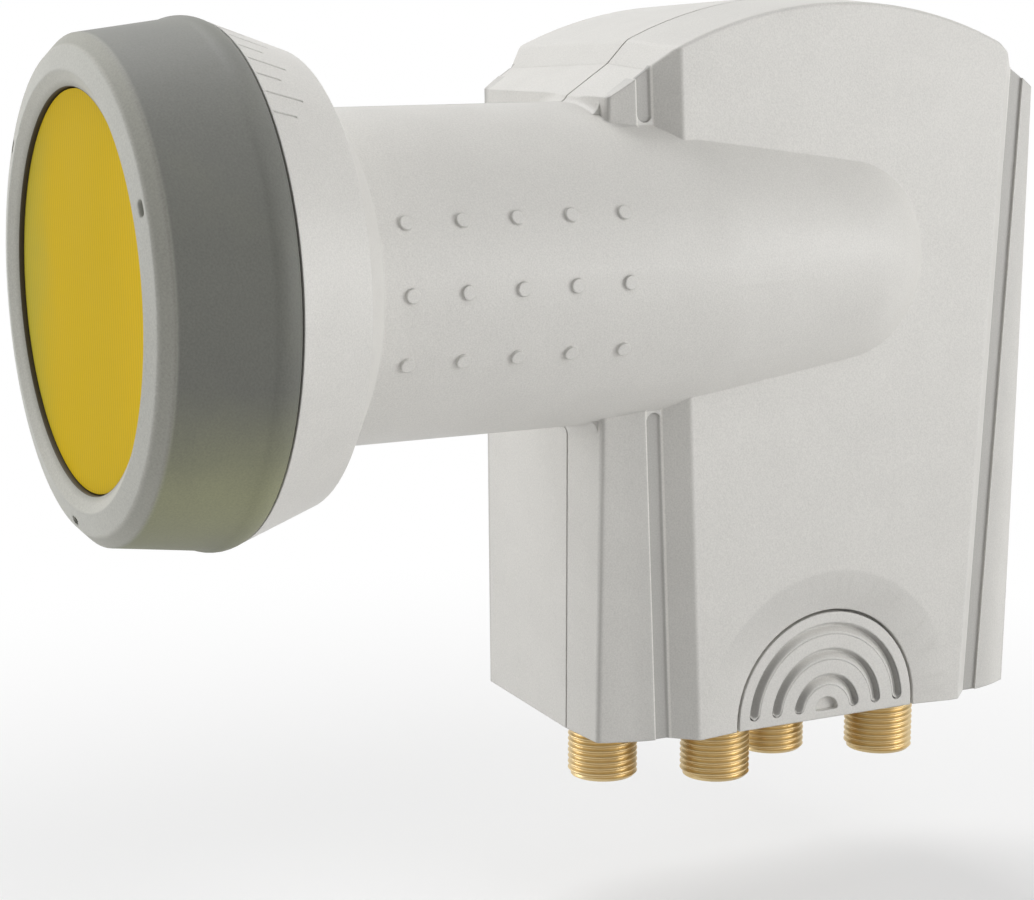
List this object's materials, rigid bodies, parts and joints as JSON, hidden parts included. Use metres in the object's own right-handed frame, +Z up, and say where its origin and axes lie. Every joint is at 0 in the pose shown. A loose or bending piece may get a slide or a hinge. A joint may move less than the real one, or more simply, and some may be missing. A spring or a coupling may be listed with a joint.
{
  "type": "satellite lnb",
  "caption": "Satellite dish receiver head: capped feed horn, round neck for the clamp, moulded housing and threaded cable sockets under a weather sleeve that slides down.",
  "frame": {"origin": "on the neck axis, at the middle of the clamped neck", "axes": "+Z up with the sockets pointing down, +Y from the horn's mouth towards the housing along the neck axis, +X to the right seen from the horn"},
  "size_m": [0.0614, 0.1282, 0.1035],
  "materials": {
    "shell": "satin light warm grey moulding, fine grain",
    "sleeve": "satin light warm grey moulding, fine grain",
    "cap": "matt mid grey moulding",
    "window": "mustard yellow, very finely lined",
    "socket": "gold plated thread",
    "contact": "gold plated",
    "insulator": "white plastic",
    "casting": "as cast",
    "board": "green solder mask",
    "chip": "black",
    "seal": "black",
    "screw": "zinc plated"
  },
  "bodies": {
    "housing": {"board_chips": "chip", "cap_ring": "cap", "cap_seal": "seal", "chassis_cover": "casting", "circuit_board": "board", "connector_1": "socket", "connector_2": "socket", "connector_3": "socket", "connector_4": "socket", "connector_seals": "seal", "contact_1": "contact", "contact_2": "contact", "contact_3": "contact", "contact_4": "contact", "cover_gasket": "seal", "cover_screws": "screw", "feed_window": "window", "insulator_1": "insulator", "insulator_2": "insulator", "insulator_3": "insulator", "insulator_4": "insulator", "left_shell": "shell", "probe_bushes": "insulator", "probe_horizontal": "contact", "probe_vertical": "contact", "right_shell": "shell", "waveguide_chassis": "casting"},
    "sleeve": {"weather_sleeve": "sleeve"}
  },
  "joints": [
    {"name": "sleeve_slide", "type": "slide", "parent": "housing", "child": "sleeve", "axis": [0, 0, -1], "range_m": [0, 0.022]}
  ]
}
